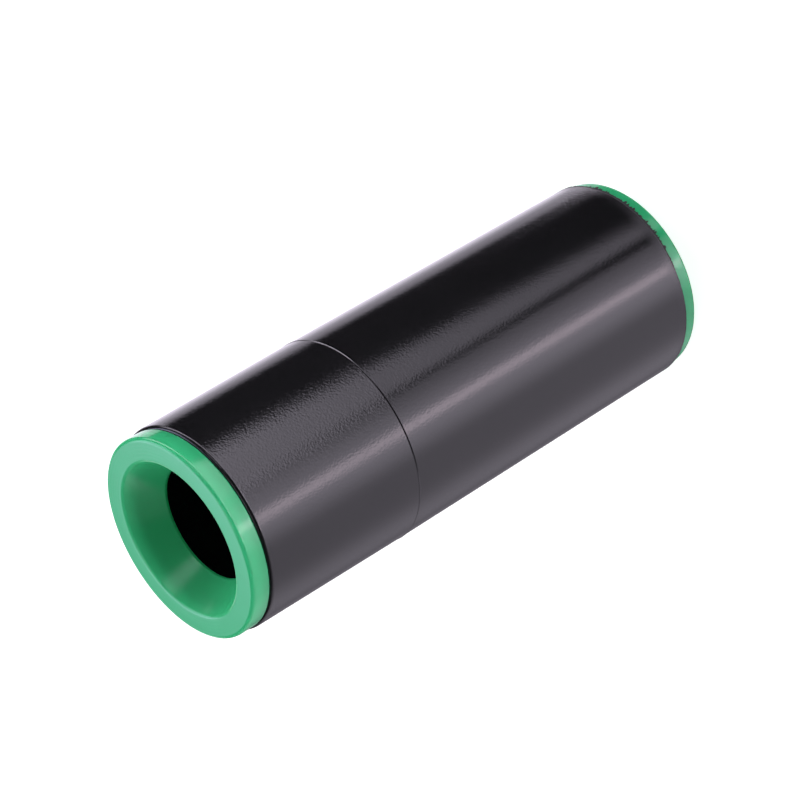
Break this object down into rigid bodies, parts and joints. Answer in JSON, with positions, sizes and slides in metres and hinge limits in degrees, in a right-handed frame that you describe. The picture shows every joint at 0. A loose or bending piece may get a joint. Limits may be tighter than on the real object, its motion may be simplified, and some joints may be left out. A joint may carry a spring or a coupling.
{
  "type": "drip irrigation coupler",
  "caption": "Black compression coupler for drip irrigation tubing: a moulded barrel with a green funnel-mouthed compression ring in each end and a tube stop inside.",
  "frame": {"origin": "middle of the lower ring's outer face, which the coupler stands on", "axes": "+Z along the barrel's axis, out of the upper ring's mouth; X and Y are any two directions across it, because the coupler is round"},
  "size_m": [0.0326, 0.0326, 0.0902],
  "materials": {
    "barrel_plastic": "satin black moulded plastic, lightly pebbled above the parting line",
    "ring_plastic": "smooth semi-gloss green moulded plastic"
  },
  "bodies": {
    "root": {"barrel": "barrel_plastic", "upper_ring": "ring_plastic", "lower_ring": "ring_plastic"}
  },
  "joints": []
}
